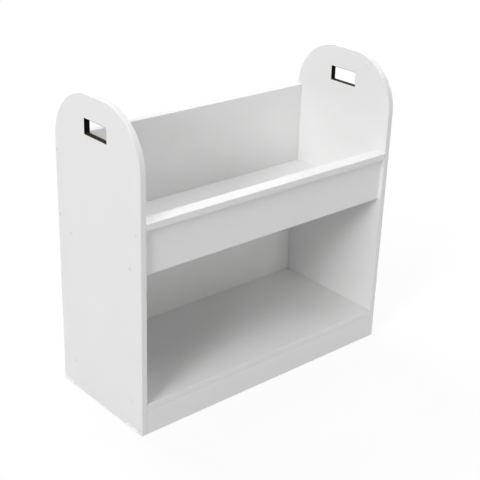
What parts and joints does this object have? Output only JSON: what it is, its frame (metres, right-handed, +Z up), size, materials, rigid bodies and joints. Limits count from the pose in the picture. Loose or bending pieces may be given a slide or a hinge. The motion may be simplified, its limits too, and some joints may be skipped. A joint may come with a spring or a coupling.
{
  "type": "picture book browser bin",
  "caption": "White board book browser: an open picture book bin above an open shelf, between side panels with rounded tops and rectangular hand slots.",
  "frame": {"origin": "on the floor, under the middle of the whole bin", "axes": "+X to the right seen from the front, +Y to the back, +Z up"},
  "size_m": [0.903, 0.383, 0.892],
  "materials": {
    "white_board": "satin white laminate on particle board",
    "white_edging": "satin white edging strip",
    "dark_liner": "dark brown, almost black, dull",
    "white_sheet": "white faced hardboard",
    "white_nylon": "smooth white moulded plastic",
    "pale_screw": "pale grey lacquered head",
    "beech_dowel": "bare beech"
  },
  "bodies": {
    "root": {"left_side_panel": "white_board", "right_side_panel": "white_board", "left_side_edging": "white_edging", "right_side_edging": "white_edging", "left_slot_liner": "dark_liner", "right_slot_liner": "dark_liner", "left_front_glide": "white_nylon", "left_rear_glide": "white_nylon", "right_front_glide": "white_nylon", "right_rear_glide": "white_nylon", "base_shelf": "white_board", "base_shelf_edging": "white_edging", "front_plinth": "white_board", "rear_plinth": "white_board", "lower_back_sheet": "white_sheet", "bin_floor": "white_board", "bin_back_board": "white_board", "bin_back_edging": "white_edging", "bin_front_board": "white_board", "bin_front_edging": "white_edging", "cap_rail": "white_board", "cap_rail_front_edging": "white_edging", "cap_rail_rear_edging": "white_edging", "left_screw_floor_front": "pale_screw", "left_screw_floor_rear": "pale_screw", "left_screw_base_front": "pale_screw", "left_screw_base_rear": "pale_screw", "left_screw_bin_front": "pale_screw", "left_screw_bin_back_top": "pale_screw", "left_screw_bin_back_foot": "pale_screw", "left_screw_plinth": "pale_screw", "right_screw_floor_front": "pale_screw", "right_screw_floor_rear": "pale_screw", "right_screw_base_front": "pale_screw", "right_screw_base_rear": "pale_screw", "right_screw_bin_front": "pale_screw", "right_screw_bin_back_top": "pale_screw", "right_screw_bin_back_foot": "pale_screw", "right_screw_plinth": "pale_screw", "rear_plinth_dowel_left": "beech_dowel", "rear_plinth_dowel_right": "beech_dowel", "cap_rail_dowel_left": "beech_dowel", "cap_rail_dowel_middle": "beech_dowel", "cap_rail_dowel_right": "beech_dowel", "bin_back_dowel_left": "beech_dowel", "bin_back_dowel_middle": "beech_dowel", "bin_back_dowel_right": "beech_dowel"}
  },
  "joints": []
}
